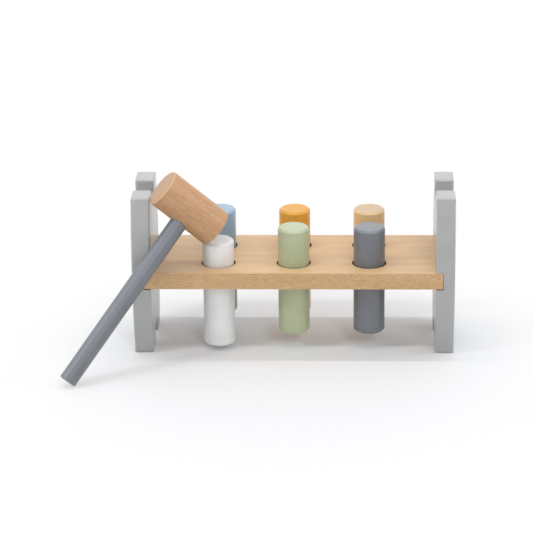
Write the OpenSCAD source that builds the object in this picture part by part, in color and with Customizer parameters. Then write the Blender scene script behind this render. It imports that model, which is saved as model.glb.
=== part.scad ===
// Peg pounding bench with its mallet, in millimetres.
//
// Two H-shaped end panels carry a thick board on edge grooves, so the bench
// stands either way up. Six loose pegs are held in the board by rubber rings,
// and are knocked through with the mallet. The mallet leans on the bench: its
// foot is on the table, its head lies on the white peg beside the left panel.
//
// X runs along the bench, Y from front to back, and Z up from the table.

/* [Bench] */
// Length over both end panels
bench_l = 255; // [230:1:280]
// Height of the end panels
bench_h = 131; // [120:1:145]

/* [End panels] */
// Depth of an end panel at half its height, where its sides bulge most
panel_w = 87; // [82:0.5:96]
// Thickness of an end panel
panel_t = 15; // [12:0.5:18]
// How far each side draws in between half height and the top or bottom
panel_bow = 10.5; // [6:0.5:13]
// Width of the notch between two feet
notch_w = 24; // [16:1:28]
// Height of the notch between two feet
notch_h = 13; // [8:0.5:20]
// Radius in the inner corners of the notch
notch_r = 3; // [1:0.5:6]
// Rounding of every outer edge of a panel
panel_edge_r = 1.5; // [0.5:0.25:2.5]
// Radius of the feet's corners at the mouth of the notch
post_corner_r = 2; // [1:0.25:4]

/* [Board] */
// Thickness of the board
board_t = 14; // [12:0.5:18]
// Rounding of the board's long edges
board_edge_r = 0.8; // [0.4:0.1:1.5]
// Depth of the groove that houses each end of the board
groove_depth = 6; // [4:0.5:8]
// Gap under the board in its groove
groove_gap = 0.4; // [0.1:0.1:0.8]
// Gap at each end of the board in its groove
end_gap = 0.3; // [0.1:0.1:0.8]

/* [Peg holes] */
// From an end panel's inner face to the nearest pair of holes
hole_inset = 52.5; // [48:0.5:58]
// From the middle to a row of holes, as a share of the panels' depth
row_share = 0.23; // [0.21:0.005:0.26]
// Gap all round a peg in its hole
peg_gap = 1; // [0.6:0.1:1.5]
// Chamfer on the rims of a hole
hole_chamfer = 0.6; // [0.3:0.1:1]

/* [Grip rings] */
// Height of a rubber ring
ring_h = 4; // [2.5:0.5:6]
// How far a ring sinks into the wall of its hole
ring_seat = 1.8; // [1:0.1:2.5]
// Play between a ring and its peg
ring_grip_gap = 0.05; // [0.02:0.01:0.09]
// Play between a ring and its seat
ring_seat_gap = 0.1; // [0.05:0.05:0.3]
// Bevel on the inner edges of a ring
ring_bevel = 0.6; // [0.2:0.1:0.8]

/* [Pegs] */
// Diameter of a peg
peg_d = 25; // [22:0.5:27]
// Length of a peg
peg_l = 87.5; // [80:0.5:90]
// Chamfer on a peg's ends
peg_chamfer = 1.5; // [0.6:0.1:2.5]
// How far the pegs of the front row stand above the board
front_rise = 30.5; // [18:0.5:40]
// How far the pegs of the back row stand above the board
back_rise = 31.5; // [18:0.5:40]

/* [Dowels] */
// Diameter of the dowels that pin the board to the panels
dowel_d = 6; // [5:0.5:8]
// Length of a dowel
dowel_l = 24; // [18:1:30]
// How far a dowel reaches into an end panel below the groove
dowel_bite = 6; // [4:0.5:7]
// From the middle to a dowel, as a share of the panels' depth
dowel_share = 0.29; // [0.22:0.01:0.32]
// Thickness of the glue all round a dowel
dowel_glue = 0.1; // [0.05:0.05:0.3]
// Chamfer on a dowel's ends
dowel_chamfer = 0.8; // [0.3:0.1:1.2]

/* [Mallet] */
// Diameter of the mallet's head
head_d = 31; // [28:0.5:36]
// Length of the mallet's head
head_l = 56; // [52:0.5:62]
// Rounding of the head's rims
head_edge_r = 2; // [1:0.1:3.5]
// Diameter of the handle
handle_d = 14; // [11:0.5:16]
// Length of the handle with the end that is glued in
handle_l = 169; // [161:1:176]
// Depth of the blind bore that takes the handle
handle_sink = 18; // [14:0.5:24]
// Thickness of the glue round the handle
handle_glue = 0.1; // [0.05:0.05:0.3]
// Rounding of the handle's ends
handle_edge_r = 1; // [0.5:0.1:2]

/* [How the mallet leans] */
// Lean of the handle from upright, in degrees
mallet_lean = 45.5; // [44:0.5:48]
// Turn of the handle's foot away from the bench's length, in degrees
mallet_swing = 38.5; // [36:0.5:44]
// Turn of the head about the handle, in degrees
mallet_twist = 21.5; // [18:0.5:25]
// Gap between the head and the left panel's inner face
mallet_panel_gap = 0.4; // [0.3:0.1:0.8]
// Gap between the handle and the left panel's front edge
mallet_edge_gap = 0.4; // [0.3:0.1:0.8]
// Gap between the head and the peg that it lies on
mallet_peg_gap = 0.3; // [0.2:0.1:0.6]

/* [Hidden] */

// Facets of the round pieces, and steps along each kind of curve
$fn = 96;
bow_facets = 360;
corner_steps = 4;
edge_steps = 4;
rim_samples = 90;
chamfer_samples = 6;
search_steps = 40;

// One overrun serves every cut
cut = 1;

// Colours, as sRGB
grey_paint = [0.72, 0.72, 0.71];
beech = [0.85, 0.70, 0.53];
rubber = [0.12, 0.12, 0.12];
white_paint = [0.93, 0.92, 0.91];
green_paint = [0.70, 0.75, 0.59];
dark_grey_paint = [0.44, 0.46, 0.49];
blue_paint = [0.58, 0.68, 0.76];
orange_paint = [0.89, 0.65, 0.28];

// The end panels and the groove
panel_in_x = bench_l / 2 - panel_t;
half_h = bench_h / 2;
bow_r = (half_h * half_h + panel_bow * panel_bow) / (2 * panel_bow);
bow_mid_y = panel_w / 2 - bow_r;

// The board, whose mid plane is at half the bench's height
board_z = half_h;
board_top = board_z + board_t / 2;
board_l = 2 * (panel_in_x + groove_depth - end_gap);
board_w = 2 * (bow_mid_y + sqrt(bow_r * bow_r - board_t * board_t / 4));

// Holes, rings and pegs
peg_r = peg_d / 2;
hole_r = peg_r + peg_gap;
seat_r = hole_r + ring_seat;
hole_x = panel_in_x - hole_inset;
hole_y = panel_w * row_share;
left = -1;
middle = 0;
right = 1;
front = -1;
back = 1;

// The mallet's directions: its own axes turned by the three angles
reach = handle_l - handle_sink + head_d / 2;
head_r = head_d / 2;
handle_r = handle_d / 2;
handle_way = [
    -sin(mallet_lean) * cos(mallet_swing),
    -sin(mallet_lean) * sin(mallet_swing),
    -cos(mallet_lean)
];
head_way = [
    cos(mallet_swing) * cos(mallet_lean) * cos(mallet_twist) + sin(mallet_swing) * sin(mallet_twist),
    sin(mallet_swing) * cos(mallet_lean) * cos(mallet_twist) - cos(mallet_swing) * sin(mallet_twist),
    -sin(mallet_lean) * cos(mallet_twist)
];

// How far a round bar with rounded rims reaches past a point on its axis,
// measured along one row axis that makes the cosine c with the bar
function bar_reach(along, radius, rim, c) = (along - rim) * abs(c) + (radius - rim) * sqrt(1 - c * c) + rim;

// The mallet's middle: its foot is on the table, its head stands beside the
// left panel, and its handle passes in front of that panel's bulge
mallet_z = bar_reach(reach, handle_r, handle_edge_r, handle_way[2]);
mallet_x = -panel_in_x + mallet_panel_gap + bar_reach(head_l / 2, head_r, head_edge_r, head_way[0]);
edge_x = -panel_in_x - panel_edge_r;
edge_y = -panel_w / 2 + panel_edge_r;
edge_off = edge_x * sin(mallet_swing) - edge_y * cos(mallet_swing) + panel_edge_r;
mallet_y = (mallet_x * sin(mallet_swing) - edge_off - handle_r - mallet_edge_gap) / cos(mallet_swing);
mallet_at = [mallet_x, mallet_y, mallet_z];

// Gap from a point to the head, which is a core grown by the rim's radius
function head_gap(p) =
    let (
        v = p - mallet_at,
        a = v * head_way,
        off = sqrt(max(0, v * v - a * a)),
        beyond = max(0, abs(a) - head_l / 2 + head_edge_r),
        outside = max(0, off - head_r + head_edge_r)
    )
    sqrt(beyond * beyond + outside * outside) - head_edge_r;

// Least gap between the head and the chamfer of the white peg, from samples
// all round it and across it
function rim_gap(top) = min([
    for (i = [0 : rim_samples - 1], k = [0 : chamfer_samples])
        let (
            turn = i * 360 / rim_samples,
            down = peg_chamfer * k / chamfer_samples,
            out = peg_r - peg_chamfer + down
        )
        head_gap([-hole_x + out * cos(turn), -hole_y + out * sin(turn), top - down])
]);

// The white peg's top is as high as the mallet's head lets it be
function seek_top(low, high, n) =
    n == 0 ? low
    : let (mid = (low + high) / 2)
      rim_gap(mid) > mallet_peg_gap ? seek_top(mid, high, n - 1) : seek_top(low, mid, n - 1);
white_top = seek_top(board_top, mallet_z, search_steps);
front_top = board_top + front_rise;
back_top = board_top + back_rise;

// The row's origin lies under the middle of everything, on the table
foot_min_x = mallet_x - bar_reach(reach, handle_r, handle_edge_r, handle_way[0]);
foot_min_y = mallet_y - bar_reach(reach, handle_r, handle_edge_r, handle_way[1]);
origin_x = (foot_min_x + bench_l / 2) / 2;
origin_y = (foot_min_y + panel_w / 2) / 2;

// Points of an arc about mid, from one angle to another
function arc(mid, radius, from, to, steps) = [
    for (i = [0 : steps])
        let (turn = from + (to - from) * i / steps)
        mid + radius * [cos(turn), sin(turn)]
];

// A round bar along Z from the origin, with both rims rounded
module round_bar(radius, length, rim, facets = $fn) {
    rotate_extrude($fn = facets)
        polygon(concat(
            [[0, 0]],
            arc([radius - rim, rim], rim, -90, 0, edge_steps),
            arc([radius - rim, length - rim], rim, 0, 90, edge_steps),
            [[0, length]]
        ));
}

// A round bar along Z from the origin, with both rims chamfered
module chamfered_bar(radius, length, chamfer) {
    rotate_extrude()
        polygon([
            [0, 0],
            [radius - chamfer, 0],
            [radius, chamfer],
            [radius, length - chamfer],
            [radius - chamfer, length],
            [0, length]
        ]);
}

// The flat plate of an end panel, with its upper and lower edges rounded
module panel_slab() {
    e = panel_edge_r;
    rotate([90, 0, 0])
        linear_extrude(2 * panel_w, center = true)
            polygon(concat(
                arc([e, e], e, 180, 270, edge_steps),
                arc([panel_t - e, e], e, 270, 360, edge_steps),
                arc([panel_t - e, bench_h - e], e, 0, 90, edge_steps),
                arc([e, bench_h - e], e, 90, 180, edge_steps)
            ));
}

// The notch between two feet, which widens at its mouth round the feet's corners
module notch() {
    mouth = notch_w / 2 + post_corner_r;
    inner = notch_w / 2 - notch_r;
    translate([-cut, 0, 0])
        rotate([90, 0, 90])
            linear_extrude(panel_t + 2 * cut)
                polygon(concat(
                    [[-mouth, -cut]],
                    arc([-mouth, post_corner_r], post_corner_r, -90, 0, corner_steps),
                    arc([-inner, notch_h - notch_r], notch_r, 180, 90, corner_steps),
                    arc([inner, notch_h - notch_r], notch_r, 90, 0, corner_steps),
                    arc([mouth, post_corner_r], post_corner_r, 180, 270, corner_steps),
                    [[mouth, -cut]]
                ));
}

// A big disc with rounded edges. The front one has the front side for its rim
module bow_disc(row) {
    translate([0, row * bow_mid_y, half_h])
        rotate([0, 90, 0])
            round_bar(bow_r, panel_t, panel_edge_r, bow_facets);
}

// The plate cut to its outline: each bowed side is the rim of one big disc
module panel_plate() {
    difference() {
        intersection() {
            panel_slab();
            bow_disc(front);
            bow_disc(back);
        }
        notch();
        translate([0, 0, bench_h])
            mirror([0, 0, 1])
                notch();
    }
}

// One end panel. side is left or right, and its groove faces the board
module end_panel(side) {
    x0 = side == left ? -bench_l / 2 : panel_in_x;
    difference() {
        translate([x0, 0, 0])
            panel_plate();
        groove(side);
        for (row = [front, back])
            dowel_bore(side, row);
    }
}

// The groove runs through from front to back. The board's top is tight in it
module groove(side) {
    translate([side == left ? -panel_in_x - groove_depth : panel_in_x - cut, -panel_w, board_top - board_t - groove_gap])
        cube([groove_depth + cut, 2 * panel_w, board_t + groove_gap]);
}

// A dowel stands half in the panel and half in the board's end
module dowel_at(side, row) {
    translate([side * (panel_in_x + groove_depth + dowel_bite), row * panel_w * dowel_share, board_z])
        rotate([0, -side * 90, 0])
            children();
}

module dowel_bore(side, row) {
    dowel_at(side, row)
        translate([0, 0, -dowel_glue])
            cylinder(h = dowel_l + 2 * dowel_glue, r = dowel_d / 2 + dowel_glue);
}

module dowel(side, row) {
    dowel_at(side, row)
        chamfered_bar(dowel_d / 2, dowel_l, dowel_chamfer);
}

// Stands its children on the axis of a hole. column is left, middle or right
module at_hole(column, row, z) {
    translate([column * hole_x, row * hole_y, z])
        children();
}

// The board's section across its length, with rounded corners
module board_section() {
    half_w = board_w / 2 - board_edge_r;
    half_t = board_t / 2 - board_edge_r;
    polygon(concat(
        arc([half_t, half_w], board_edge_r, 0, 90, edge_steps),
        arc([-half_t, half_w], board_edge_r, 90, 180, edge_steps),
        arc([-half_t, -half_w], board_edge_r, 180, 270, edge_steps),
        arc([half_t, -half_w], board_edge_r, 270, 360, edge_steps)
    ));
}

// A hole with its chamfered rims and the seat of its rubber ring
module peg_hole() {
    half_t = board_t / 2;
    cylinder(h = board_t + 2 * cut, r = hole_r, center = true);
    cylinder(h = ring_h + 2 * ring_seat_gap, r = seat_r, center = true);
    for (turned = [0, 1])
        mirror([0, 0, turned])
            translate([0, 0, half_t - hole_chamfer])
                cylinder(h = hole_chamfer + cut, r1 = hole_r, r2 = hole_r + hole_chamfer + cut);
}

module peg_board() {
    color(beech)
        difference() {
            translate([0, 0, board_z])
                rotate([0, 90, 0])
                    linear_extrude(board_l, center = true)
                        board_section();
            for (column = [left, middle, right], row = [front, back])
                at_hole(column, row, board_z)
                    peg_hole();
            for (side = [left, right], row = [front, back])
                dowel_bore(side, row);
        }
}

// A rubber ring with bevelled inner edges, which lets a peg in from either side
module grip_ring(column, row) {
    inner = peg_r + ring_grip_gap;
    outer = seat_r - ring_seat_gap;
    color(rubber)
        at_hole(column, row, board_z - ring_h / 2)
            rotate_extrude()
                polygon([
                    [inner + ring_bevel, 0],
                    [outer, 0],
                    [outer, ring_h],
                    [inner + ring_bevel, ring_h],
                    [inner, ring_h - ring_bevel],
                    [inner, ring_bevel]
                ]);
}

// A plain round peg, whose upper end is at top
module peg(column, row, top, paint) {
    color(paint)
        at_hole(column, row, top - peg_l)
            chamfered_bar(peg_r, peg_l, peg_chamfer);
}

// Turns the mallet from its own axes, with the handle down and the head along
// X, to the way that it leans on the bench
module leaning() {
    translate(mallet_at)
        rotate([0, mallet_lean, mallet_swing])
            rotate([0, 0, -mallet_twist])
                children();
}

module mallet_head() {
    color(beech)
        leaning()
            difference() {
                translate([-head_l / 2, 0, 0])
                    rotate([0, 90, 0])
                        round_bar(head_r, head_l, head_edge_r);
                translate([0, 0, -head_r - cut])
                    cylinder(h = handle_sink + cut, r = handle_r + handle_glue);
            }
}

module mallet_handle() {
    color(dark_grey_paint)
        leaning()
            translate([0, 0, -reach])
                round_bar(handle_r, handle_l, handle_edge_r);
}

// The panels and dowels in their colours
module left_end_panel() {
    color(grey_paint)
        end_panel(left);
}

module right_end_panel() {
    color(grey_paint)
        end_panel(right);
}

module beech_dowel(side, row) {
    color(beech)
        dowel(side, row);
}

// Moves a piece from the bench's own middle to the row's origin
module seated() {
    translate([-origin_x, -origin_y, 0])
        children();
}

seated() peg_board();
seated() left_end_panel();
seated() right_end_panel();
seated() beech_dowel(left, front);  // left_front_dowel
seated() beech_dowel(left, back);  // left_back_dowel
seated() beech_dowel(right, front);  // right_front_dowel
seated() beech_dowel(right, back);  // right_back_dowel
seated() grip_ring(left, front);  // white_grip_ring
seated() grip_ring(middle, front);  // green_grip_ring
seated() grip_ring(right, front);  // dark_grey_grip_ring
seated() grip_ring(left, back);  // blue_grip_ring
seated() grip_ring(middle, back);  // orange_grip_ring
seated() grip_ring(right, back);  // natural_grip_ring
seated() peg(left, front, white_top, white_paint);  // white_peg
seated() peg(middle, front, front_top, green_paint);  // green_peg
seated() peg(right, front, front_top, dark_grey_paint);  // dark_grey_peg
seated() peg(left, back, back_top, blue_paint);  // blue_peg
seated() peg(middle, back, back_top, orange_paint);  // orange_peg
seated() peg(right, back, back_top, beech);  // natural_peg
seated() mallet_head();
seated() mallet_handle();
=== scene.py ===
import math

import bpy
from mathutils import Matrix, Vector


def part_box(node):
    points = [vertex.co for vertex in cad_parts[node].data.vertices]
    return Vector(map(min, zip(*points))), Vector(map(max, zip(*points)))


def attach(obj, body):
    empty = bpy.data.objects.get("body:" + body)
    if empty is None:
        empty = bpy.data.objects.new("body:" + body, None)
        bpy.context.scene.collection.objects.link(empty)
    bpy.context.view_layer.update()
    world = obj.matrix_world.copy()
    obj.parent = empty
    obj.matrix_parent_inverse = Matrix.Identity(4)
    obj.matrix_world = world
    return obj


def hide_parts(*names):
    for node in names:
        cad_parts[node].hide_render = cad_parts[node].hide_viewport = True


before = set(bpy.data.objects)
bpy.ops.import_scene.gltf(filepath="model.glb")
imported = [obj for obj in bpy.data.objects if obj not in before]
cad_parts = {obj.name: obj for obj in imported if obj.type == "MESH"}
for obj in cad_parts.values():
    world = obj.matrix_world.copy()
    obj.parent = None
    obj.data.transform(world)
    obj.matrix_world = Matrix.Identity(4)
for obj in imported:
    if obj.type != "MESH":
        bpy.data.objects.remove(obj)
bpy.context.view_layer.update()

# %% [markdown]
# # A peg pounding bench
#
# The real toy is a thick beech board between two H-shaped end panels. Six
# pegs stand in the board, and a small wooden mallet leans on it. The packed
# CAD model gives every place and size, so this script only dresses it: each
# wooden piece is modelled again with soft edges, and everything gets a finish
# that is made of nodes.

MM = 0.001

# %% [markdown]
# The pieces are placed by the CAD nodes' own boxes. A box gives the lowest and
# the highest corner of a node, so a peg's axis is half way between them. That
# way nothing here can drift away from the model that the joints belong to.

# %% Read places and sizes from the nodes
PEGS = ["white", "green", "dark_grey", "blue", "orange", "natural"]


def middle_and_size(node):
    low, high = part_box(node)
    return (low + high) / 2, high - low


left_mid, panel_size = middle_and_size("left_end_panel")
right_mid, _ = middle_and_size("right_end_panel")
board_mid, board_size = middle_and_size("peg_board")
bench_mid = (left_mid + right_mid) / 2
bench_foot = Vector((bench_mid.x, bench_mid.y, 0))
print("bench middle:", [round(v / MM, 2) for v in bench_mid])

# %% [markdown]
# The camera comes first, because every later choice is judged through it. Its
# place was worked out from straight edges of the real bench, whose sizes are
# round numbers in millimetres. A long lens far away keeps the panels nearly
# parallel, as on a studio photograph.

# %% Camera
YAW, PITCH, ROLL = (math.radians(a) for a in (-2.1733, 21.1362, -0.7215))
EYE_FROM_FOOT = Vector((47.730, -1850.609, 777.273)) * MM
FILM_WIDTH, FOCAL_LENGTH = 36, 166.5
NEAREST, FARTHEST = 0.05, 50

ahead = Vector((math.sin(YAW) * math.cos(PITCH), math.cos(YAW) * math.cos(PITCH), -math.sin(PITCH)))
level = Vector((math.cos(YAW), -math.sin(YAW), 0))
square_up = level.cross(ahead)
side_way = level * math.cos(ROLL) + square_up * math.sin(ROLL)
up_way = square_up * math.cos(ROLL) - level * math.sin(ROLL)
eye = bench_foot + EYE_FROM_FOOT

lens = bpy.data.cameras.new("camera")
lens.sensor_width = FILM_WIDTH
lens.lens = FOCAL_LENGTH
lens.clip_start = NEAREST
lens.clip_end = FARTHEST
camera = bpy.data.objects.new("camera", lens)
bpy.context.scene.collection.objects.link(camera)
facing = Matrix((side_way, up_way, -ahead)).transposed().to_4x4()
camera.matrix_world = Matrix.Translation(eye) @ facing
bpy.context.scene.camera = camera
print("camera at", [round(v, 3) for v in eye], "lens", lens.lens, "mm")

# %% [markdown]
# A shader wants linear numbers, and people write colours as "#c8a070", so one
# function turns the second into the first. A pattern often only darkens what
# is below it. That is a multiplication, and `grey` and `veil` give the tones
# to multiply with.

# %% Colours
def linear(code):
    """The linear colour of a written sRGB one."""
    parts = [int(code[i:i + 2], 16) / 255 for i in (1, 3, 5)]
    return [c / 12.92 if c <= 0.04045 else ((c + 0.055) / 1.055) ** 2.4 for c in parts] + [1]


def grey(value):
    """A tone to multiply with. 1 changes nothing, and less is darker."""
    return [value, value, value, 1]


def veil(code, share):
    """A tone to multiply with, that tints by a share of a written colour."""
    return [c * share + 1 - share for c in linear(code)[:3]] + [1]


print("paint sample:", [round(c, 3) for c in linear("#c8a070")])

# %% [markdown]
# A material in Blender is a small graph of nodes. One function adds a node,
# sets it up and joins it to the ones before it, so a graph reads from top to
# bottom like a recipe.

# %% Nodes
# where the Mix node keeps its factor, its two colours, its two plain numbers and its mixed colour
FACTOR, COLOUR_A, COLOUR_B, NUMBER_A, NUMBER_B = 0, 6, 7, 2, 3
MIXED = 2


def add_node(graph, kind, inputs=None, stops=(), **properties):
    """Adds a node. Each input named or numbered gets a value, or a link if it is a node's output.

    The stops are for a colour ramp: pairs of a place between 0 and 1 and a linear colour.
    """
    node = graph.nodes.new(kind)
    for name, value in properties.items():
        setattr(node, name, value)
    for name, source in (inputs or {}).items():
        if isinstance(source, bpy.types.NodeSocket):
            graph.links.new(source, node.inputs[name])
        else:
            node.inputs[name].default_value = source
    if stops:
        node.color_ramp.interpolation = "EASE"
        stop_list = node.color_ramp.elements
        while len(stop_list) < len(stops):
            stop_list.new(0.5)
        for stop, (place, colour) in zip(stop_list, stops):
            stop.position = place
            stop.color = colour
    return node


def new_material(name):
    material = bpy.data.materials.new(name)
    material.use_nodes = True
    material.node_tree.nodes.clear()
    print("new material:", material.name)
    return material, material.node_tree


def looking_rays(graph):
    """1 for the rays that look at the room, from the camera, off a gloss or through glass. 0 for light."""
    path = add_node(graph, "ShaderNodeLightPath")
    looking = path.outputs["Is Camera Ray"]
    for kind in ("Is Glossy Ray", "Is Transmission Ray"):
        looking = add_node(graph, "ShaderNodeMath", {0: looking, 1: path.outputs[kind]},
                           operation="MAXIMUM").outputs[0]
    return looking


# %% [markdown]
# The bench stands on a plain pale floor. In the photograph the paper sweep is
# so bright that only the shadow shows. So the floor is near white, and further
# out it fades to plain white for the rays that are looking at it, which hides
# the horizon. Close to the bench it is ordinary paper that takes the shadows.
# Beech throws warm light down on it, more than the photograph shows, so the
# paper is painted a little cooler and lighter in an oval below the board: a
# painted lift of the shade there.

# %% Floor
FLOOR_SIZE = 60
# the second paper colour is painted light: lighter and cooler under the board, to lift the shade there
PAPER, PAPER_PAINTED_LIGHTER = linear("#ecedef"), linear("#f4f9fe")
OVAL_AT, OVAL_REACH, OVAL_CORE = (0.03, 0.012, 0), (0.15, 0.075, 1), 0.3
FADE_SHIFT = (0, 0.05, 0)
FADE_START, FADE_END = 0.1, 0.26

bpy.ops.object.select_all(action="DESELECT")
bpy.ops.mesh.primitive_plane_add(size=FLOOR_SIZE, location=bench_foot)
floor = bpy.context.object
floor.name = "floor"

floor_paper, graph = new_material("white_paper_sweep")
where = add_node(graph, "ShaderNodeTexCoord").outputs["Object"]
oval = add_node(graph, "ShaderNodeMapping", {"Vector": where, "Location": OVAL_AT, "Scale": OVAL_REACH},
                vector_type="TEXTURE")
from_oval = add_node(graph, "ShaderNodeVectorMath", {0: oval.outputs[0]}, operation="LENGTH")
outside = add_node(graph, "ShaderNodeMapRange",
                   {"Value": from_oval.outputs["Value"], "From Min": OVAL_CORE, "From Max": 1.0},
                   interpolation_type="SMOOTHSTEP")
shade = add_node(graph, "ShaderNodeMix",
                 {FACTOR: outside.outputs[0], COLOUR_A: PAPER_PAINTED_LIGHTER, COLOUR_B: PAPER}, data_type="RGBA")
paper = add_node(graph, "ShaderNodeBsdfPrincipled", {"Base Color": shade.outputs[MIXED], "Roughness": 0.9})

plain = add_node(graph, "ShaderNodeEmission", {"Color": linear("#ffffff"), "Strength": 1.0})
shifted = add_node(graph, "ShaderNodeMapping", {"Vector": where, "Location": FADE_SHIFT})
from_bench = add_node(graph, "ShaderNodeVectorMath", {0: shifted.outputs[0]}, operation="LENGTH")
far = add_node(graph, "ShaderNodeMapRange",
               {"Value": from_bench.outputs["Value"], "From Min": FADE_START, "From Max": FADE_END},
               interpolation_type="SMOOTHSTEP")
fade = add_node(graph, "ShaderNodeMath", {0: far.outputs[0], 1: looking_rays(graph)}, operation="MULTIPLY")
faded = add_node(graph, "ShaderNodeMixShader", {0: fade.outputs[0], 1: paper.outputs[0], 2: plain.outputs[0]})
add_node(graph, "ShaderNodeOutputMaterial", {"Surface": faded.outputs[0]})
floor.data.materials.append(floor_paper)

# %% [markdown]
# The shadow under the bench tells where the lights hang. It has two pairs of
# straight, rather crisp edges that run along the bench, and its ends are
# blurred. So two long, narrow softboxes lie along the bench: one straight
# above it, and one in front at about 67 degrees up. A low panel at the back
# puts the sheen on the tops, and a large one at each side lights the broad
# faces of the end panels. Two small ones in front, to the left and to the
# right, light the fronts and round off the pegs.

# %% Softboxes
# place from the bench's foot in metres, width and height in metres, and power in watts
SOFTBOXES = {
    "strip_overhead": ((0, 0.07, 1.4), (1.6, 0.04), 4.2),
    "strip_front": ((0, -0.56, 1.3), (1.6, 0.04), 2.9),
    "back_panel": ((0, 2.0, 0.95), (2.6, 0.9), 3),
    "left_front_panel": ((-1.85, -1.0, 1.6), (0.5, 0.5), 12.5),
    "right_front_panel": ((0.68, -2.0, 1.6), (0.5, 0.5), 9),
    "right_panel": ((2.0, -0.1, 0.7), (1.2, 1.0), 11.5),
    "left_panel": ((-2.0, -0.1, 0.7), (1.2, 1.0), 7.5),
}
# a box looks at the height of the board, at a point most of the way out to its own side
AIM_SHARE, AIM_HEIGHT = 0.8, 0.06


def hang_softbox(name, at, size, power):
    """A rectangular area light. Its long side stays as near to the bench's length as it can."""
    light = bpy.data.lights.new(name, "AREA")
    light.shape = "RECTANGLE"
    light.size, light.size_y = size
    light.energy = power
    lamp = bpy.data.objects.new(name, light)
    bpy.context.scene.collection.objects.link(lamp)
    back = (Vector(at) - Vector((at[0] * AIM_SHARE, 0, AIM_HEIGHT))).normalized()
    across = Vector((1, 0, 0)) - back * back.x
    across.normalize()
    turned = Matrix((across, back.cross(across), back)).transposed().to_4x4()
    lamp.matrix_world = Matrix.Translation(bench_foot + Vector(at)) @ turned


for name, (at, size, power) in SOFTBOXES.items():
    hang_softbox(name, at, size, power)

# %% [markdown]
# The rest of the light is a white room, whose brightness depends on where a
# ray goes. The light that falls on the bench comes more from the horizon than
# from the top, and more from behind than from in front. A gloss sees a bright,
# slightly cool ceiling instead, which is what the painted tops show. The
# camera sees the same room, but it doesn't look up, so for it that is white.

# %% World
ROOM_AT_HORIZON, ROOM_AT_TOP = 0.74, 0.46
ROOM_IN_FRONT, ROOM_BEHIND = 0.55, 1.4
CEILING_STARTS, CEILING_FULL, CEILING_POWER = 0.55, 0.9, 2.8
CEILING_TINT = ((0.3, linear("#ffffff")), (0.9, linear("#e2ecff")))

world = bpy.data.worlds.new("white_room")
bpy.context.scene.world = world
world.use_nodes = True
graph = world.node_tree
graph.nodes.clear()
looking = looking_rays(graph)
where = add_node(graph, "ShaderNodeTexCoord").outputs["Generated"]
way = add_node(graph, "ShaderNodeSeparateXYZ", {0: where})
by_height = add_node(graph, "ShaderNodeMapRange",
                     {"Value": way.outputs["Z"], "To Min": ROOM_AT_HORIZON, "To Max": ROOM_AT_TOP})
by_depth = add_node(graph, "ShaderNodeMapRange",
                    {"Value": way.outputs["Y"], "From Min": -1.0,
                     "To Min": ROOM_IN_FRONT, "To Max": ROOM_BEHIND})
room_light = add_node(graph, "ShaderNodeMath", {0: by_height.outputs[0], 1: by_depth.outputs[0]},
                      operation="MULTIPLY")
ceiling = add_node(graph, "ShaderNodeMapRange",
                   {"Value": way.outputs["Z"], "From Min": CEILING_STARTS, "From Max": CEILING_FULL,
                    "To Min": 1.0, "To Max": CEILING_POWER})
strength = add_node(graph, "ShaderNodeMix",
                    {FACTOR: looking, NUMBER_A: room_light.outputs[0], NUMBER_B: ceiling.outputs[0]},
                    data_type="FLOAT")
cool = add_node(graph, "ShaderNodeValToRGB", {0: way.outputs["Z"]}, stops=CEILING_TINT)
tint = add_node(graph, "ShaderNodeMix",
                {FACTOR: looking, COLOUR_A: linear("#ffffff"), COLOUR_B: cool.outputs["Color"]},
                data_type="RGBA")
room = add_node(graph, "ShaderNodeBackground",
                {"Strength": strength.outputs[0], "Color": tint.outputs[MIXED]})
add_node(graph, "ShaderNodeOutputWorld", {"Surface": room.outputs[0]})
bpy.context.scene.view_settings.view_transform = "Standard"
print("view transform:", bpy.context.scene.view_settings.view_transform)

# %% [markdown]
# Modelling by hand in Blender means: choose some edges, then run an operator
# on them. `round_edges` does that in code. Its test gets the two ends of an
# edge, in millimetres, and says whether the edge is bevelled. Only the piece
# itself may be selected, because an operator acts on everything that is.

# %% Choose edges and round them
SAME = 0.02


def near(a, b):
    """Whether two places in millimetres are the same, apart from rounding."""
    return abs(a - b) < SAME


def choose(piece):
    """Makes this piece the only selected object, and the active one."""
    bpy.ops.object.select_all(action="DESELECT")
    piece.select_set(True)
    bpy.context.view_layer.objects.active = piece


def round_edges(piece, test, radius, segments):
    """Bevels the chosen edges. One segment makes a flat chamfer. The radius is in millimetres."""
    choose(piece)
    bpy.ops.object.mode_set(mode="EDIT")
    bpy.ops.mesh.select_mode(type="EDGE")
    bpy.ops.mesh.select_all(action="DESELECT")
    bpy.ops.object.mode_set(mode="OBJECT")
    points = [v.co / MM for v in piece.data.vertices]
    for edge in piece.data.edges:
        edge.select = bool(test(points[edge.vertices[0]], points[edge.vertices[1]]))
    bpy.ops.object.mode_set(mode="EDIT")
    bpy.ops.mesh.bevel(offset=radius * MM, segments=segments, affect="EDGES")
    bpy.ops.object.mode_set(mode="OBJECT")


print("edges meet a test within", SAME, "mm")

# %% [markdown]
# Every piece here starts as a block or a rod, and other blocks and rods are
# cut out of it. Both are added at their size and place, and then the place is
# applied, so it is in the mesh and the object sits at the origin. `modify`
# adds a modifier and applies it at once, and `cut` takes one solid out of
# another, or keeps only what both share.

# %% Blocks, rods and cuts
ALONG = {"X": (0, math.pi / 2, 0), "Z": (0, 0, 0)}


def keep_as(name):
    """Names the object that an operator has just made, and puts its place and size into its mesh."""
    piece = bpy.context.object
    piece.name = name
    piece.data.name = name
    bpy.ops.object.transform_apply(location=True, rotation=True, scale=True)
    return piece


def block(name, low, high):
    """A block between two corners, in millimetres."""
    low, high = Vector(low), Vector(high)
    bpy.ops.object.select_all(action="DESELECT")
    bpy.ops.mesh.primitive_cube_add(size=1, location=(low + high) / 2 * MM)
    bpy.context.object.scale = (high - low) * MM
    return keep_as(name)


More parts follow.
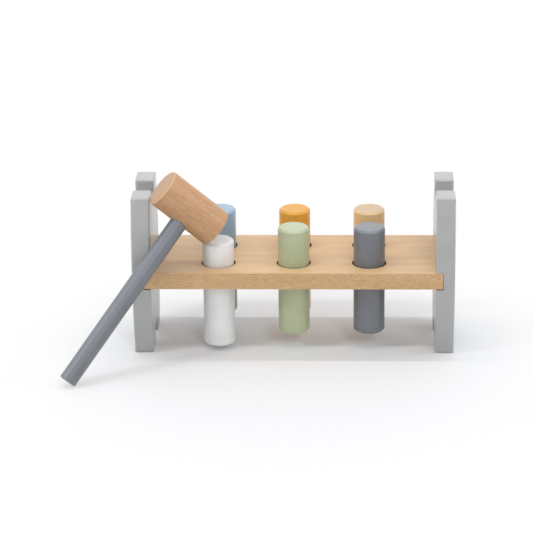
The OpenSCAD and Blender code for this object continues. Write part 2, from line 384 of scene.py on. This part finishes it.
def rod(name, middle, radius, length, along="Z", sides=128):
    """A cylinder along X or Z, in millimetres."""
    bpy.ops.object.select_all(action="DESELECT")
    bpy.ops.mesh.primitive_cylinder_add(vertices=sides, radius=radius * MM, depth=length * MM,
                                        location=Vector(middle) * MM, rotation=ALONG[along])
    return keep_as(name)


def modify(piece, kind, **settings):
    choose(piece)
    bpy.ops.object.modifier_add(type=kind)
    step = piece.modifiers[-1]
    for name, value in settings.items():
        setattr(step, name, value)
    bpy.ops.object.modifier_apply(modifier=step.name)


def cut(piece, cutter, operation="DIFFERENCE"):
    modify(piece, "BOOLEAN", object=cutter, operation=operation, solver="EXACT")
    bpy.data.objects.remove(cutter)


print("rods run along", list(ALONG))

# %% [markdown]
# The last steps are the same for each piece. Shading is smooth except over
# sharp corners, and the weighted normals keep the large faces flat beside
# their rounded edges. The walls of bores and grooves are marked in an
# attribute that the materials read, to paint them dark as shade.

# %% Finish a piece
SHARP_FROM = math.radians(40)
LARGE_FACE_WEIGHT = 80  # out of 100: how much more a large face counts than a small one


def mark_painted_shade_faces(piece, test):
    """Writes 1 on the faces that lie inside a bore or a groove, where the materials paint shade. The test
    gets a face's middle.
    """
    inside = piece.data.attributes.new("inside", "FLOAT", "FACE")
    for face in piece.data.polygons:
        inside.data[face.index].value = float(test(face.center / MM))


def finish_piece(piece, body, material, node):
    """Smooths the shading, dresses the piece and lets it take the place of its CAD node."""
    choose(piece)
    bpy.ops.object.shade_smooth_by_angle(angle=SHARP_FROM)
    modify(piece, "WEIGHTED_NORMAL", keep_sharp=True, weight=LARGE_FACE_WEIGHT)
    piece.data.materials.clear()
    piece.data.materials.append(material)
    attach(piece, body)
    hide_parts(node)
    print(f"{piece.name}: {len(piece.data.polygons)} faces, rides on {body}")


print("corners stay sharp from", round(math.degrees(SHARP_FROM)), "degrees")

# %% [markdown]
# A pattern in wood follows the grain, not the room. So each piece gets its own
# frame: a Mapping node moves the pattern's origin to the piece's middle, turns
# X along the grain and makes the unit a millimetre. The normal is turned the
# same way, to tell sides from ends. `pattern` is noise that is stretched by a
# number of features per millimetre, and `toned` darkens a colour by a pattern.

# %% A piece's own frame, and patterns in it
def own_frame(graph, middle, turn):
    """Coordinates in a piece's own frame, in millimetres."""
    where = add_node(graph, "ShaderNodeTexCoord").outputs["Object"]
    own = add_node(graph, "ShaderNodeMapping",
                   {"Vector": where, "Location": middle, "Rotation": turn, "Scale": (MM, MM, MM)},
                   vector_type="TEXTURE")
    return own.outputs[0]


def ends_and_edges(graph, turn):
    """How squarely the surface faces along the grain, as an end does, and edgewise. Both are 0 to 1."""
    where = add_node(graph, "ShaderNodeTexCoord").outputs["Normal"]
    turned = add_node(graph, "ShaderNodeMapping", {"Vector": where, "Rotation": turn}, vector_type="TEXTURE")
    parts = add_node(graph, "ShaderNodeSeparateXYZ", {0: turned.outputs[0]})
    return [add_node(graph, "ShaderNodeMath", {0: parts.outputs[axis]}, operation="ABSOLUTE").outputs[0]
            for axis in ("X", "Y")]


def pattern(graph, source, per_mm, detail, roughness=0.5, seed=0.0):
    """Noise with its own number of features per millimetre along X, Y and Z."""
    stretched = add_node(graph, "ShaderNodeMapping",
                         {"Vector": source, "Scale": per_mm, "Location": (seed, seed * 2, seed * 3)})
    return add_node(graph, "ShaderNodeTexNoise",
                    {"Vector": stretched.outputs[0], "Scale": 1.0, "Detail": detail, "Roughness": roughness})


def toned(graph, colour, strength, *stops):
    """Multiplies a colour by the tones that a pattern's strength picks between the stops."""
    tone = add_node(graph, "ShaderNodeValToRGB", {0: strength}, stops=stops)
    toned_colour = add_node(graph, "ShaderNodeMix",
                            {FACTOR: 1.0, COLOUR_A: colour, COLOUR_B: tone.outputs["Color"]},
                            data_type="RGBA", blend_type="MULTIPLY")
    return toned_colour.outputs[MIXED]


NO_TURN, UPRIGHT = (0, 0, 0), (0, math.pi / 2, 0)
print("grain of an upright piece is turned by", round(math.degrees(UPRIGHT[1])), "degrees")

# %% [markdown]
# Beech is a pale, dense wood with no rings that stand out. What the eye reads
# as beech is soft lengthwise bands a few millimetres wide, very fine fibre
# lines, and short dark flecks, which are the wood's rays cut across. On a
# narrow edge the flecks are many, short and a little wavy; on the wide face
# they are faint. Where the wood is turned, the vessels are cut lengthwise too
# and show as thin darker lines. Noise on straight coordinates would look
# ruled, so the coordinates are first made to waver a little.

# %% Beech along the grain
# features per millimetre along, across and through the grain
SLOW_DRIFT, QUICK_DRIFT = (0.016, 0.016, 0.016), (0.2, 0.2, 0.2)  # every 60 mm and every 5 mm
QUICK_SHARE = 0.05  # the quick drift reaches only this share of the slow one
BANDS = (0.006, 0.12, 0.12)  # growth bands, some 8 mm apart and over 100 mm long
FIBRES = (0.04, 1.2, 1.2)  # real fibres are 0.05 mm wide, and are drawn 0.8 mm wide so that they show
VESSELS = (0.09, 1.7, 1.7)  # some 10 mm long and 0.6 mm apart
RAYS = (0.22, 2.5, 2.5)  # about 4 mm long and 0.4 mm wide


def wavering(graph, own, reach):
    """The own frame, pushed to and fro across the grain by up to about half of reach."""
    grain = own
    for per_mm, push in ((SLOW_DRIFT, reach), (QUICK_DRIFT, reach * QUICK_SHARE)):
        drift = pattern(graph, own, per_mm, 1).outputs["Color"]
        centred = add_node(graph, "ShaderNodeVectorMath", {0: drift, 1: (0.5, 0.5, 0.5)},
                           operation="SUBTRACT")
        across = add_node(graph, "ShaderNodeVectorMath", {0: centred.outputs[0], 1: (0, push, push)},
                          operation="MULTIPLY")
        grain = add_node(graph, "ShaderNodeVectorMath", {0: grain, 1: across.outputs[0]},
                         operation="ADD").outputs[0]
    return grain


def side_wood(graph, grain, edgewise, light, dark, fleck, on_face, on_edge, pore_lines):
    """The colour of wood cut along the grain, and its fibre pattern."""
    bands = pattern(graph, grain, BANDS, 3, 0.55, seed=3.1).outputs["Fac"]
    wood = add_node(graph, "ShaderNodeValToRGB", {0: bands},
                    stops=((0.2, linear(dark)), (0.75, linear(light)))).outputs["Color"]
    fibres = pattern(graph, grain, FIBRES, 3, 0.6, seed=7.7).outputs["Fac"]
    wood = toned(graph, wood, fibres, (0.25, grey(0.9)), (0.62, grey(1)))
    vessels = pattern(graph, grain, VESSELS, 2, 0.6, seed=5.9).outputs["Fac"]
    wood = toned(graph, wood, vessels, (0.54, grey(1)), (0.68, veil(fleck, pore_lines)))
    rays = pattern(graph, grain, RAYS, 2, seed=1.3).outputs["Fac"]
    ray_mask = add_node(graph, "ShaderNodeValToRGB", {0: rays}, stops=((0.46, grey(0)), (0.62, grey(1))))
    shown = add_node(graph, "ShaderNodeMapRange",
                     {"Value": edgewise, "From Min": 0.3, "From Max": 0.9,
                      "To Min": on_face, "To Max": on_edge})
    marks = add_node(graph, "ShaderNodeMath", {0: ray_mask.outputs["Color"], 1: shown.outputs[0]},
                     operation="MULTIPLY")
    wood = add_node(graph, "ShaderNodeMix",
                    {FACTOR: marks.outputs[0], COLOUR_A: wood, COLOUR_B: linear(fleck)}, data_type="RGBA")
    return wood.outputs[MIXED], fibres


print("a growth band is about", round(1 / BANDS[1]), "mm wide")

# %% [markdown]
# Cut across, beech is greyer. It shows its pores as fine dark points, and the
# saw leaves its marks along the growth rings. The whole material is then a
# stack: side wood, a tone for the narrow edges, a paler line on the rounded
# corner of the turned head, which is a painted highlight, the end grain, and
# a very dark wall where a drill went through, a little darker from the drill
# and painted much darker still as shade. The wood is sanded and left
# natural, so its gloss is low, and the fibres give it a very shallow relief.

# %% Beech
PORES = (1.6, 1.6, 1.6)  # real pores are 0.05 mm wide, and are drawn 0.6 mm apart so that they show
GROWTH_RINGS = (0.8, 0.8, 0.06)  # lines some 1.2 mm apart
BORE_WALL_PAINTED_SHADE = linear("#2e2119")
BEECH_ROUGHNESS, BEECH_UNEVEN = 0.5, 0.08
BEECH_RELIEF, RELIEF_HEIGHT = 0.15, 0.2 * MM
BEECH_IOR = 1.48
PORE_SHADE = 0.88


def end_wood(graph, own, end):
    """The colour of wood cut across the grain."""
    pores = pattern(graph, own, PORES, 3, 0.6, seed=4.4).outputs["Fac"]
    pore_colour = [c * PORE_SHADE for c in linear(end)[:3]] + [1]
    wood = add_node(graph, "ShaderNodeValToRGB", {0: pores}, stops=((0.35, pore_colour), (0.6, linear(end))))
    rings = pattern(graph, own, GROWTH_RINGS, 2, seed=2.2).outputs["Fac"]
    return toned(graph, wood.outputs["Color"], rings, (0.35, grey(0.9)), (0.6, grey(1.03)))


def beech(name, middle, turn, light, dark, fleck, end, on_face=0.12, on_edge=0.6, waver=5.0,
          edge_tone="#ffffff", rim=None, pore_lines=0.0):
    """Natural beech, sanded.

    light and dark are the colours of its bands, fleck that of its rays, end that of its end grain,
    and rim that of a painted highlight on a rounded corner. The flecks show by on_face on wide faces and by
    on_edge on narrow ones, which edge_tone tints, and the vessels show by pore_lines. waver is how far the
    grain drifts, in millimetres.
    """
    material, graph = new_material(name)
    own = own_frame(graph, middle, turn)
    endwise, edgewise = ends_and_edges(graph, turn)
    grain = wavering(graph, own, waver)
    wood, fibres = side_wood(graph, grain, edgewise, light, dark, fleck, on_face, on_edge, pore_lines)
    edge = add_node(graph, "ShaderNodeMapRange", {"Value": edgewise, "From Min": 0.6, "From Max": 0.95})
    wood = add_node(graph, "ShaderNodeMix",
                    {FACTOR: edge.outputs[0], COLOUR_A: wood, COLOUR_B: linear(edge_tone)},
                    data_type="RGBA", blend_type="MULTIPLY").outputs[MIXED]
    # a painted highlight: a paler line on the rounded rim between an end face and the side
    if rim:
        rim_highlight = add_node(graph, "ShaderNodeValToRGB", {0: endwise},
                          stops=((0.3, grey(0)), (0.6, grey(1)), (0.85, grey(1)), (1.0, grey(0))))
        wood = add_node(graph, "ShaderNodeMix",
                        {FACTOR: rim_highlight.outputs["Color"], COLOUR_A: wood, COLOUR_B: linear(rim)},
                        data_type="RGBA").outputs[MIXED]
    is_end = add_node(graph, "ShaderNodeMapRange", {"Value": endwise, "From Min": 0.85, "From Max": 0.97})
    wood = add_node(graph, "ShaderNodeMix",
                    {FACTOR: is_end.outputs[0], COLOUR_A: wood, COLOUR_B: end_wood(graph, own, end)},
                    data_type="RGBA").outputs[MIXED]
    # the bore walls are painted nearly black: a little of it the drill's burnish, most of it painted shade
    inside = add_node(graph, "ShaderNodeAttribute", attribute_name="inside")
    wood = add_node(graph, "ShaderNodeMix",
                    {FACTOR: inside.outputs["Fac"], COLOUR_A: wood, COLOUR_B: BORE_WALL_PAINTED_SHADE},
                    data_type="RGBA").outputs[MIXED]
    relief = add_node(graph, "ShaderNodeBump",
                      {"Height": fibres, "Strength": BEECH_RELIEF, "Distance": RELIEF_HEIGHT})
    rough = add_node(graph, "ShaderNodeMapRange",
                     {"Value": fibres, "To Min": BEECH_ROUGHNESS - BEECH_UNEVEN,
                      "To Max": BEECH_ROUGHNESS + BEECH_UNEVEN})
    shader = add_node(graph, "ShaderNodeBsdfPrincipled",
                      {"Base Color": wood, "Roughness": rough.outputs[0], "Normal": relief.outputs[0],
                       "IOR": BEECH_IOR})
    add_node(graph, "ShaderNodeOutputMaterial", {"Surface": shader.outputs[0]})
    return material


board_beech = beech("natural_beech", board_mid, NO_TURN, "#e1be93", "#d7b084", "#ab7f54", "#d2b394",
                    on_face=0.08, on_edge=0.48, edge_tone="#f4f0e8")

# %% [markdown]
# The painted pieces wear a satin water-based lacquer, as toys do. It is thin,
# so the wood's fibres still telegraph through as a very shallow relief. The
# sprayed film is a little cloudy over some 20 mm and has a fine mottle of
# grains about 1 mm wide. All of that is too small to name when you look at it,
# and it is what keeps paint from looking like plastic. The gloss is a base of
# medium roughness with a thin, clearer coat over it.

# %% Satin paint
CLOUDS, GRAINS = (0.05, 0.05, 0.05), (1.1, 1.1, 1.1)
WOOD_BELOW = (0.05, 1.6, 1.6)  # fibres 0.6 mm apart that run along X of the piece's own frame
PAINT_ROUGHNESS, LESS_ROUGH, MORE_ROUGH = 0.34, 0.04, 0.06
COAT = 0.25
GROOVE_PAINTED_SHADE = linear("#3b3129")
IOR_COATED, IOR_BARE = 1.5, 1.36


def satin_paint(name, colour, middle, turn, relief_depth=0.1, coat=COAT, film_blur=0.12, mottle=0.02):
    """Sprayed lacquer on wood. mottle is how dark its grains are, and film_blur is the coat's roughness."""
    material, graph = new_material(name)
    own = own_frame(graph, middle, turn)
    clouds = pattern(graph, own, CLOUDS, 3).outputs["Fac"]
    paint = toned(graph, linear(colour), clouds, (0.3, grey(0.94)), (0.7, grey(1)))
    grains = pattern(graph, own, GRAINS, 2).outputs["Fac"]
    paint = toned(graph, paint, grains, (0.35, grey(1 - mottle)), (0.65, grey(1)))
    # the inside of a groove is bare wood, painted this dark as shade
    inside = add_node(graph, "ShaderNodeAttribute", attribute_name="inside")
    paint = add_node(graph, "ShaderNodeMix",
                     {FACTOR: inside.outputs["Fac"], COLOUR_A: paint, COLOUR_B: GROOVE_PAINTED_SHADE},
                     data_type="RGBA").outputs[MIXED]
    fibres = pattern(graph, own, WOOD_BELOW, 3).outputs["Fac"]
    relief = add_node(graph, "ShaderNodeBump",
                      {"Height": fibres, "Strength": relief_depth, "Distance": RELIEF_HEIGHT})
    rough = add_node(graph, "ShaderNodeMapRange",
                     {"Value": clouds, "To Min": PAINT_ROUGHNESS - LESS_ROUGH,
                      "To Max": PAINT_ROUGHNESS + MORE_ROUGH})
    shader = add_node(graph, "ShaderNodeBsdfPrincipled",
                      {"Base Color": paint, "Roughness": rough.outputs[0], "Normal": relief.outputs[0],
                       "IOR": IOR_COATED if coat else IOR_BARE, "Coat Weight": coat,
                       "Coat Roughness": film_blur})
    add_node(graph, "ShaderNodeOutputMaterial", {"Surface": shader.outputs[0]})
    return material


# slot, colour and coat of each painted peg. The ochre has no coat, which would veil its strong colour
PEG_PAINTS = {
    "white": ("white_satin_paint", "#ecedee", COAT),
    "green": ("sage_green_satin_paint", "#b4bc97", COAT),
    "dark_grey": ("slate_grey_satin_paint", "#72767c", COAT),
    "blue": ("blue_grey_satin_paint", "#90acc2", COAT),
    "orange": ("ochre_satin_paint", "#e2a440", 0),
}
panel_paint = satin_paint("light_grey_satin_paint", "#aeafae", bench_mid, UPRIGHT, mottle=0.045)
peg_finish = {}
for colour, (slot, code, coat) in PEG_PAINTS.items():
    peg_mid, _ = middle_and_size(f"{colour}_peg")
    peg_finish[colour] = (satin_paint(slot, code, peg_mid, UPRIGHT, coat=coat), slot)
peg_mid, _ = middle_and_size("natural_peg")
peg_beech = beech("natural_beech_peg", peg_mid, UPRIGHT, "#eccb9a", "#dfb884", "#a87a4c", "#d6ba98",
                  on_face=0.15, on_edge=0.3)
peg_finish["natural"] = (peg_beech, "natural_beech")

# %% [markdown]
# An end panel is cut from a flat board. Its two long sides bow outwards, and a
# shallow notch in the top and in the bottom leaves two feet and two posts. By
# hand you would start from a block, cut both bows with one very large cylinder
# each, then cut the notches, round the corners seen from the end, and only
# then run the 1.5 mm rounding over the outline, as a router would. The groove
# that takes the board comes last, so its edges stay sharp.

# %% End panels
HALF_THICK, HALF_WIDE, TALL = panel_size.x / MM / 2, panel_size.y / MM / 2, panel_size.z / MM
BOW = 10.5
BOW_RADIUS = ((TALL / 2) ** 2 + BOW ** 2) / (2 * BOW)
BOW_SIDES = 480
NOTCH_HALF, NOTCH_TALL, NOTCH_RADIUS = 12, 13, 3
POST_RADIUS, OUTLINE_RADIUS = 2, 1.5
GROOVE_DEEP, GROOVE_GAP = 6, 0.4
OVERRUN = 5
NOTCH_REACH, GROOVE_REACH = 20, 80  # how far the cutters go to each side of the panel's middle
SKIN = 0.1  # faces this near to a groove's or a bore's surface count as part of its wall


def model_panel(name, mid):
    cx, cy = mid.x / MM, mid.y / MM

    def through(a, b):
        """An edge that runs through the panel's thickness."""
        return abs(a.x - b.x) > HALF_THICK

    def at_outer_corner(a, b):
        return through(a, b) and (near(a.z, 0) or near(a.z, TALL))

    def at_notch_corner(a, b):
        in_notch = near(a.z, NOTCH_TALL) or near(a.z, TALL - NOTCH_TALL)
        return through(a, b) and near(abs(a.y - cy), NOTCH_HALF) and in_notch

    def on_outline(a, b):
        return near(a.x, b.x) and near(abs(a.x - cx), HALF_THICK)

    def in_groove(c):
        return SKIN < abs(c.x - face) < GROOVE_DEEP + SKIN and z_low - SKIN < c.z < z_high + SKIN

    piece = block(name, (cx - HALF_THICK, cy - HALF_WIDE, 0), (cx + HALF_THICK, cy + HALF_WIDE, TALL))
    for way in (-1, 1):
        disc_at = (cx, cy + way * (HALF_WIDE - BOW_RADIUS), TALL / 2)
        cut(piece, rod("bow", disc_at, BOW_RADIUS, HALF_THICK * 4, "X", BOW_SIDES), "INTERSECT")
    for low, high in ((-OVERRUN, NOTCH_TALL), (TALL - NOTCH_TALL, TALL + OVERRUN)):
        cut(piece, block("notch", (cx - NOTCH_REACH, cy - NOTCH_HALF, low),
                         (cx + NOTCH_REACH, cy + NOTCH_HALF, high)))
    round_edges(piece, at_outer_corner, POST_RADIUS, 6)
    round_edges(piece, at_notch_corner, NOTCH_RADIUS, 6)
    round_edges(piece, on_outline, OUTLINE_RADIUS, 5)

    inward = 1 if mid.x < bench_mid.x else -1
    face = cx + inward * HALF_THICK
    x_low, x_high = sorted((face - inward * GROOVE_DEEP, face + inward * OVERRUN))
    z_high = (board_mid.z + board_size.z / 2) / MM
    z_low = z_high - board_size.z / MM - GROOVE_GAP
    cut(piece, block("groove", (x_low, cy - GROOVE_REACH, z_low), (x_high, cy + GROOVE_REACH, z_high)))
    mark_painted_shade_faces(piece, in_groove)
    return piece


for side, mid in (("left", left_mid), ("right", right_mid)):
    panel = model_panel(f"{side}_end_panel_painted", mid)
    finish_piece(panel, "bench", panel_paint, f"{side}_end_panel")

# %% [markdown]
# The board is a plain plank whose long edges are just eased with sandpaper.
# Six holes go through it, 60 mm apart, and each has a wider seat half way down
# for its rubber ring. The photograph shows the rims of the holes nearly sharp,
# so they are eased by only a quarter of a millimetre. That is enough to catch
# a thin line of light, which makes a hole look cut and not painted on.

# %% Peg board
HOLE_RADIUS, HOLE_CUTTER = 13.5, 60
SEAT_RADIUS, SEAT_TALL = 15.3, 4.2
RIM_EASED, LONG_EDGE_EASED = 0.25, 0.8
LONG, SHORT, MARGIN = 50, 1.5, 3  # tell the board's long edges from the facets of the holes' rims


def model_board():
    low, high = (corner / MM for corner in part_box("peg_board"))
    axes = [middle_and_size(f"{peg}_peg")[0].xy / MM for peg in PEGS]

    def long_edge(a, b):
        return abs(a.x - b.x) > LONG and (near(a.y, low.y) or near(a.y, high.y))

    def on_rim(a, b):
        """A short edge in the top or the bottom, away from the board's own long edges."""
        flat = near(a.z, b.z) and (near(a.z, high.z) or near(a.z, low.z))
        inner = all(low.y + MARGIN < point.y < high.y - MARGIN for point in (a, b))
        return flat and inner and (a - b).length < SHORT

    def in_bore(c):
        to_axis = min((c.xy - axis).length for axis in axes)
        return low.z + RIM_EASED < c.z < high.z - RIM_EASED and to_axis < SEAT_RADIUS + SKIN * 2

    piece = block("beech_peg_board", low, high)
    round_edges(piece, long_edge, LONG_EDGE_EASED, 4)
    for axis in axes:
        middle = (axis.x, axis.y, board_mid.z / MM)
        cut(piece, rod("hole", middle, HOLE_RADIUS, HOLE_CUTTER))
        cut(piece, rod("seat", middle, SEAT_RADIUS, SEAT_TALL))
    round_edges(piece, on_rim, RIM_EASED, 2)
    mark_painted_shade_faces(piece, in_bore)
    return piece


finish_piece(model_board(), "bench", board_beech, "peg_board")

# %% [markdown]
# A peg is a turned stick, cut off and chamfered at both ends. On the real pegs
# the chamfer is a clear band with soft borders, so the rim is bevelled twice:
# once flat, and then a little round over the two edges that the first one made.

# %% Pegs
CHAMFER, CHAMFER_SOFT = 1.5, 0.3


def model_peg(name, node):
    low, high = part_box(node)
    mid, size = (low + high) / 2 / MM, (high - low) / MM
    z_low, z_high = low.z / MM, high.z / MM

    def on_rim(a, b):
        return near(a.z, b.z) and (near(a.z, z_low) or near(a.z, z_high))

    def on_chamfer(a, b):
        """One of the two edges of a chamfer: the rim of the end face, or where the side begins."""
        side_begins = near(a.z, z_low + CHAMFER) or near(a.z, z_high - CHAMFER)
        return on_rim(a, b) or (near(a.z, b.z) and side_begins)

    piece = rod(name, mid, size.x / 2, size.z)
    round_edges(piece, on_rim, CHAMFER, 1)
    round_edges(piece, on_chamfer, CHAMFER_SOFT, 3)
    return piece


for colour in PEGS:
    node = f"{colour}_peg"
    material, slot = peg_finish[colour]
    finish_piece(model_peg(f"{colour}_turned_peg", node), node, material, node)

# %% [markdown]
# The mallet is a thick beech rod, cross-drilled for a thinner painted one. It
# leans, so it is modelled straight, with the head along X and the handle down
# Z, and turned into place as the last step. Its place is written with three
# turns: lean from upright, swing round the vertical, twist about the handle.
# The handle's paint has a blurred coat and no relief, because on so thin a rod
# a sharp gloss breaks up into bright specks when it is lifted.

# %% Mallet
LEAN, SWING, TWIST = (math.radians(a) for a in (45.5, 38.5, 21.5))
HEAD_LENGTH, HEAD_RADIUS, HEAD_RIM = 56, 15.5, 2
HANDLE_RADIUS, HANDLE_LENGTH, HANDLE_SINK, HANDLE_RIM = 7, 169, 18, 1
BORE_GAP = 0.1
head_mid, _ = middle_and_size("mallet_head")
pose = Matrix.Rotation(SWING, 4, "Z") @ Matrix.Rotation(LEAN, 4, "Y") @ Matrix.Rotation(-TWIST, 4, "Z")


def lean(piece):
    """Turns a straight piece into place, and puts the turn into its mesh."""
    choose(piece)
    piece.matrix_world = Matrix.Translation(head_mid) @ pose
    bpy.ops.object.transform_apply(location=True, rotation=True, scale=True)


def on_head_rim(a, b):
    return near(a.x, b.x) and near(abs(a.x), HEAD_LENGTH / 2)


head = rod("beech_mallet_head", (0, 0, 0), HEAD_RADIUS, HEAD_LENGTH, "X", 160)
round_edges(head, on_head_rim, HEAD_RIM, 6)
bore_mid = -HEAD_RADIUS - OVERRUN + (HANDLE_SINK + OVERRUN) / 2
cut(head, rod("bore", (0, 0, bore_mid), HANDLE_RADIUS + BORE_GAP, HANDLE_SINK + OVERRUN))
lean(head)
# rim is a painted highlight along the rounded rims of the head's ends
head_beech = beech("natural_beech_mallet_head", head_mid, tuple(pose.to_euler()), "#cba077", "#bc8e66",
                   "#8d5f3c", "#be9a7b", on_face=0.2, on_edge=0.2, waver=1.0, rim="#cfa67e", pore_lines=0.45)
finish_piece(head, "mallet", head_beech, "mallet_head")

foot = -(HANDLE_LENGTH - HANDLE_SINK + HEAD_RADIUS)


def on_handle_rim(a, b):
    return near(a.z, b.z) and (near(a.z, foot) or near(a.z, foot + HANDLE_LENGTH))


handle_mid = (0, 0, foot + HANDLE_LENGTH / 2)
handle = rod("painted_mallet_handle", handle_mid, HANDLE_RADIUS, HANDLE_LENGTH, sides=96)
round_edges(handle, on_handle_rim, HANDLE_RIM, 4)
lean(handle)
handle_turn = tuple((pose @ Matrix.Rotation(math.pi / 2, 4, "Y")).to_euler())
handle_paint = satin_paint("mallet_handle_paint", "#73767c", head_mid, handle_turn, relief_depth=0.0,
                           film_blur=0.28)
finish_piece(handle, "mallet", handle_paint, "mallet_handle")

# %% [markdown]
# What is left of the CAD model stays as it is and only gets a finish: the four
# dowels inside the joints, and the rings that hold the pegs. The rings are
# moulded black rubber, which is dull and faintly speckled.

# %% Rubber rings and dowels
SPECKS_PER_METRE = 1800
ring_rubber, graph = new_material("black_rubber")
where = add_node(graph, "ShaderNodeTexCoord").outputs["Object"]
specks = add_node(graph, "ShaderNodeTexNoise", {"Vector": where, "Scale": SPECKS_PER_METRE, "Detail": 2})
tone = add_node(graph, "ShaderNodeValToRGB", {0: specks.outputs["Fac"]},
                stops=((0.3, linear("#161616")), (0.7, linear("#262625"))))
relief = add_node(graph, "ShaderNodeBump",
                  {"Height": specks.outputs["Fac"], "Strength": 0.15, "Distance": 0.1 * MM})
shader = add_node(graph, "ShaderNodeBsdfPrincipled",
                  {"Base Color": tone.outputs["Color"], "Normal": relief.outputs[0], "Roughness": 0.75})
add_node(graph, "ShaderNodeOutputMaterial", {"Surface": shader.outputs[0]})

dowel_beech = beech("dowel_beech", board_mid, NO_TURN, "#dcb98c", "#c79a68", "#9c6c41", "#d2b394")


def dress(node, material):
    """Fills every material slot of a CAD node with the material."""
    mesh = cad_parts[node].data
    for i in range(len(mesh.materials)):
        mesh.materials[i] = material


for colour in PEGS:
    dress(f"{colour}_grip_ring", ring_rubber)
for side in ("left", "right"):
    for row in ("front", "back"):
        dress(f"{side}_{row}_dowel", dowel_beech)
print("CAD nodes that stay:", sum(not o.hide_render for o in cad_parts.values()))

# %% [markdown]
# Last, the view layer is updated. The visual model has to stay inside the
# CAD model's box, because Blender adds looks and no size.

# %% Update the view layer
bpy.context.view_layer.update()
